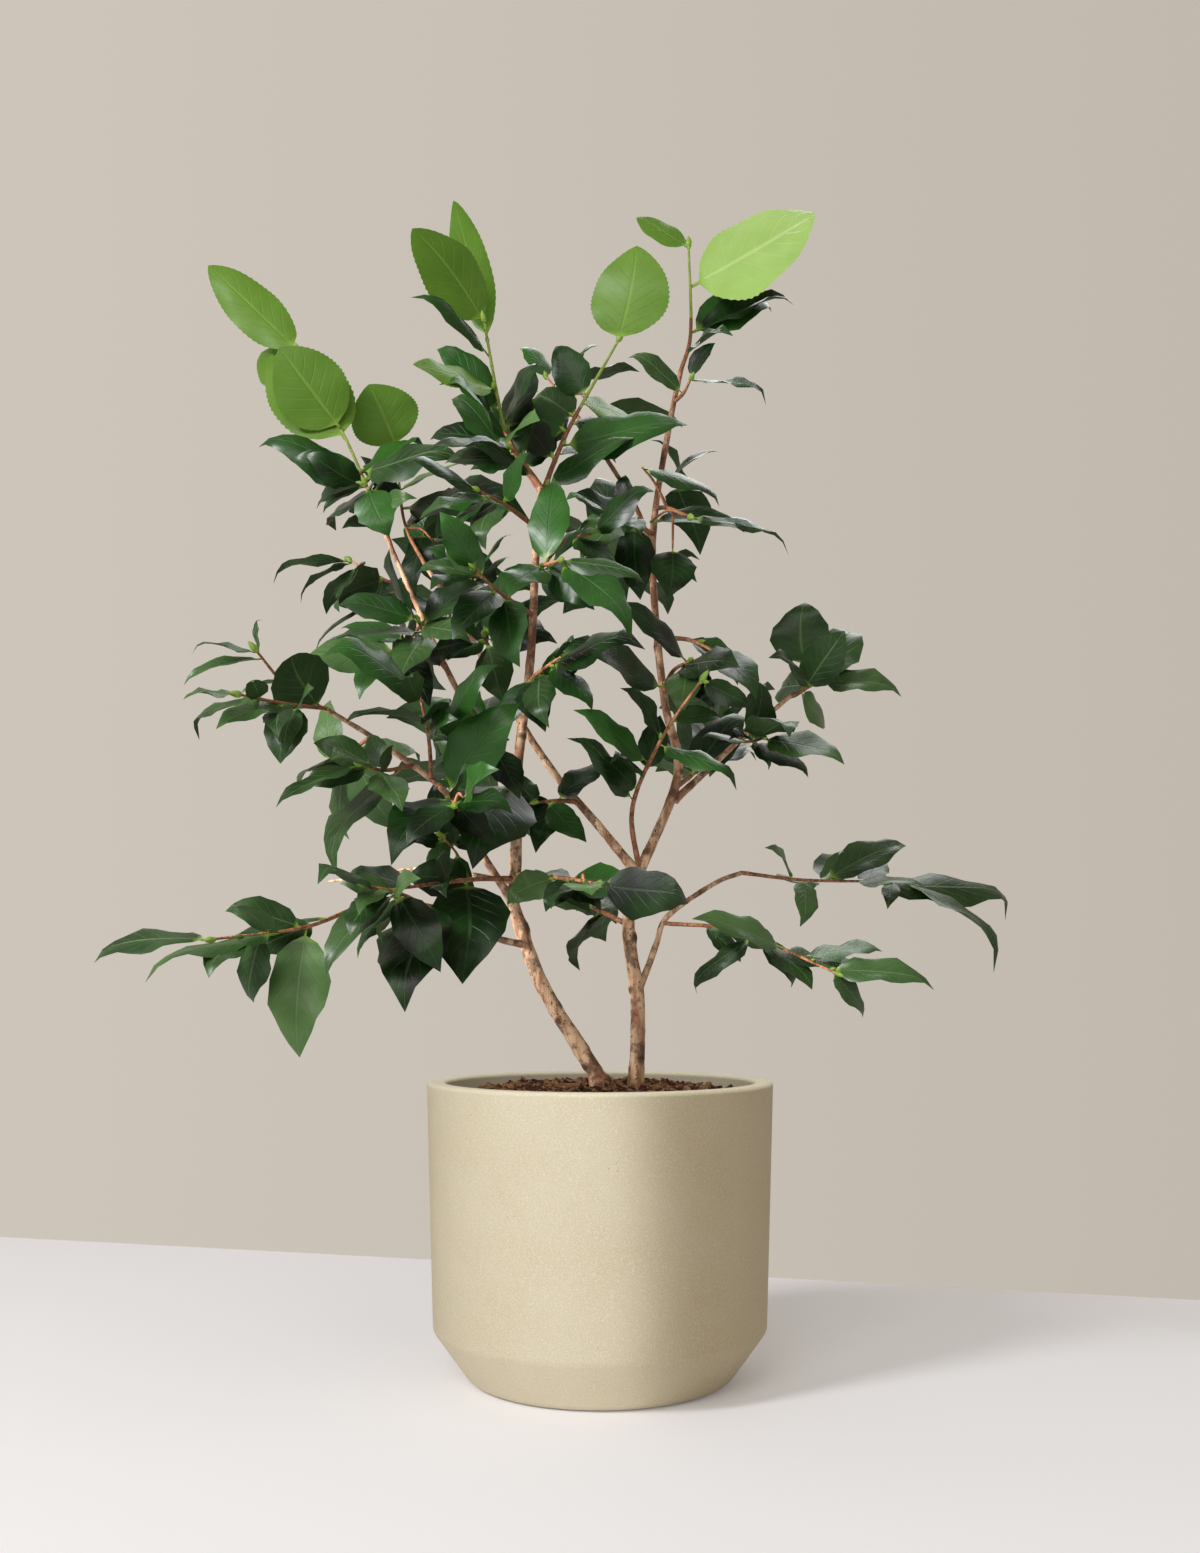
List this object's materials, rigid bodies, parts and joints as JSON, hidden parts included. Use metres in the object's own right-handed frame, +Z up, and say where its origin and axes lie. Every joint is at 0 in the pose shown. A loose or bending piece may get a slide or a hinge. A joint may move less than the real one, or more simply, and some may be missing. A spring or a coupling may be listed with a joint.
{
  "type": "potted camellia shrub",
  "caption": "Young evergreen shrub with two woody stems, forked boughs and glossy pointed leaves, growing in bark compost in a plain round planter with a tapered foot.",
  "frame": {"origin": "middle of the planter's flat underside", "axes": "+Z up, -Y the front, +X to the right of someone who looks at the front"},
  "size_m": [0.675, 0.511, 0.91],
  "materials": {
    "planter": "matte sand-coloured cast stone with a fine light speckle",
    "compost": "dark, damp bark chips",
    "bark": "pinkish tan bark with cream patches and dark flecks",
    "foliage": "glossy dark green leaves, paler and matte below, bright green on young shoots"
  },
  "bodies": {
    "root": {"planter": "planter", "compost": "compost", "stem_left": "bark", "stem_right": "bark", "leader_left": "bark", "leader_right": "bark", "bough_left": "bark", "bough_upper_left": "bark", "bough_cross": "bark", "bough_low_left": "bark", "bough_thin_left": "bark", "bough_low_right": "bark", "bough_mid_right": "bark", "bough_top_back": "bark", "foliage_low_left": "foliage", "foliage_low_left_inner": "foliage", "foliage_low_centre_left": "foliage", "foliage_centre_left": "foliage", "foliage_left_middle": "foliage", "foliage_left": "foliage", "foliage_left_tip": "foliage", "foliage_left_shoot": "foliage", "foliage_upper_left_low": "foliage", "foliage_upper_left": "foliage", "foliage_inner_left": "foliage", "foliage_top_left": "foliage", "foliage_top_middle": "foliage", "foliage_top_back": "foliage", "foliage_top_right": "foliage", "foliage_right_upper": "foliage", "foliage_right_back": "foliage", "foliage_centre_upper": "foliage", "foliage_centre": "foliage", "foliage_front": "foliage", "foliage_centre_right": "foliage", "foliage_under_cross": "foliage", "foliage_right": "foliage", "foliage_right_middle": "foliage", "foliage_low_right": "foliage", "foliage_low_right_front": "foliage", "foliage_front_low": "foliage", "foliage_upper_left_middle": "foliage", "foliage_cross_upper": "foliage", "foliage_left_of_leader": "foliage", "foliage_low_of_leader": "foliage", "foliage_upper_of_leader": "foliage", "foliage_between_leaders": "foliage", "foliage_right_of_leader": "foliage", "foliage_low_between": "foliage", "foliage_top_inner": "foliage", "foliage_left_hanging": "foliage", "foliage_back_low": "foliage", "foliage_back_left": "foliage", "foliage_back_right": "foliage", "foliage_back_upper": "foliage", "foliage_back_top_left": "foliage", "foliage_under_top_right": "foliage", "foliage_upper_left_side": "foliage", "foliage_upper_left_front": "foliage", "foliage_cross_middle": "foliage"}
  },
  "joints": []
}
